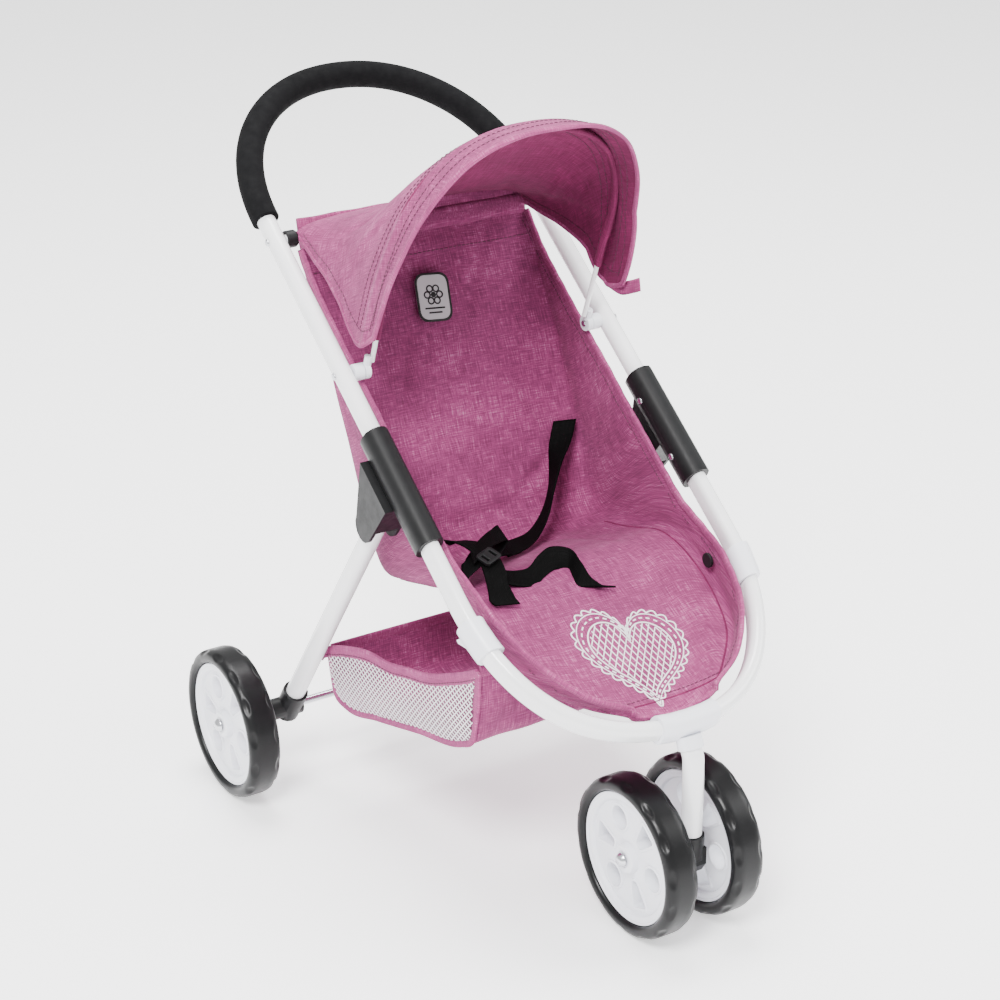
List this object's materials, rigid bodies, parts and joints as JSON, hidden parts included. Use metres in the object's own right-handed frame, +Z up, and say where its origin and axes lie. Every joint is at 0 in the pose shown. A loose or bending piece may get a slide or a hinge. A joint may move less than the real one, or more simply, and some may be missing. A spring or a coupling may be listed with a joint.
{
  "type": "doll stroller",
  "caption": "Three-wheeled doll stroller with a tube frame, a swivelling twin front wheel, a fabric seat, a folding canopy and a basket.",
  "frame": {"origin": "on the floor, midway between the front of the front tyres and the back of the handle, on the centre plane", "axes": "+Z up, -Y the way the stroller travels, +X its own left side"},
  "size_m": [0.423, 0.5682, 0.5725],
  "materials": {
    "painted_tube": "gloss white paint",
    "white_plastic": "satin white moulding",
    "black_plastic": "satin black moulding",
    "grip_foam": "matte black foam",
    "tyre": "satin black tyre",
    "steel": "plated steel",
    "pink_fabric": "melange pink weave",
    "webbing": "black webbing",
    "label_fabric": "woven label"
  },
  "bodies": {
    "frame": {"handle_tube": "painted_tube", "handle_grip": "grip_foam", "front_tube": "painted_tube", "bracket_right": "black_plastic", "bracket_left": "black_plastic", "bracket_screw_right_1": "steel", "bracket_screw_right_2": "steel", "bracket_screw_left_1": "steel", "bracket_screw_left_2": "steel", "leg_pivot_pin_right": "steel", "leg_pivot_pin_left": "steel", "top_bar": "painted_tube", "top_bar_knob_right": "black_plastic", "top_bar_knob_left": "black_plastic", "top_bar_screw_right": "steel", "top_bar_screw_left": "steel", "canopy_boss_right": "white_plastic", "canopy_boss_left": "white_plastic", "canopy_boss_screw_right": "steel", "canopy_boss_screw_left": "steel", "canopy_pivot_screw_right": "steel", "canopy_pivot_screw_left": "steel", "basket_clip_right": "white_plastic", "basket_clip_left": "white_plastic", "fork_connector": "white_plastic", "connector_screw_1": "steel", "connector_screw_2": "steel", "fork_tube": "painted_tube", "seat": "pink_fabric", "seat_snap_right": "black_plastic", "seat_snap_left": "black_plastic", "label_patch": "label_fabric", "harness_strap": "webbing", "harness_tail": "webbing", "canopy_fabric": "pink_fabric", "basket": "pink_fabric"},
    "rear_legs": {"rear_leg_right": "painted_tube", "rear_leg_left": "painted_tube", "rear_foot_right": "black_plastic", "rear_foot_left": "black_plastic", "rear_axle": "steel", "rear_axle_cap_right": "steel", "rear_axle_cap_left": "steel"},
    "canopy_bow": {"canopy_bow": "painted_tube", "bow_end_right": "white_plastic", "bow_end_left": "white_plastic"},
    "caster": {"caster_housing": "black_plastic", "caster_pin": "steel", "front_axle": "steel", "front_axle_cap_right": "steel", "front_axle_cap_left": "steel"},
    "rear_wheel_right": {"rear_rim_right": "white_plastic", "rear_tyre_right": "tyre"},
    "rear_wheel_left": {"rear_rim_left": "white_plastic", "rear_tyre_left": "tyre"},
    "front_wheel_right": {"front_rim_right": "white_plastic", "front_tyre_right": "tyre"},
    "front_wheel_left": {"front_rim_left": "white_plastic", "front_tyre_left": "tyre"}
  },
  "joints": [
    {"name": "rear_leg_fold", "type": "hinge", "parent": "frame", "child": "rear_legs", "pos_m": [0, -0.0113, 0.2763], "axis": [1, 0, 0], "range_deg": [-60, 0], "deforming": ["basket"]},
    {"name": "canopy_fold", "type": "hinge", "parent": "frame", "child": "canopy_bow", "pos_m": [0, 0.04638, 0.37376], "axis": [1, 0, 0], "range_deg": [-65, 0], "deforming": ["canopy_fabric"]},
    {"name": "caster_swivel", "type": "hinge", "parent": "frame", "child": "caster", "pos_m": [0, -0.2488, 0.0625], "axis": [0, 0, 1], "continuous": true},
    {"name": "rear_wheel_right_spin", "type": "hinge", "parent": "rear_legs", "child": "rear_wheel_right", "pos_m": [-0.1946, 0.1167, 0.0625], "axis": [1, 0, 0], "continuous": true},
    {"name": "rear_wheel_left_spin", "type": "hinge", "parent": "rear_legs", "child": "rear_wheel_left", "pos_m": [0.1946, 0.1167, 0.0625], "axis": [1, 0, 0], "continuous": true},
    {"name": "front_wheel_right_spin", "type": "hinge", "parent": "caster", "child": "front_wheel_right", "pos_m": [-0.0296, -0.2217, 0.0625], "axis": [1, 0, 0], "continuous": true},
    {"name": "front_wheel_left_spin", "type": "hinge", "parent": "caster", "child": "front_wheel_left", "pos_m": [0.0296, -0.2217, 0.0625], "axis": [1, 0, 0], "continuous": true}
  ]
}
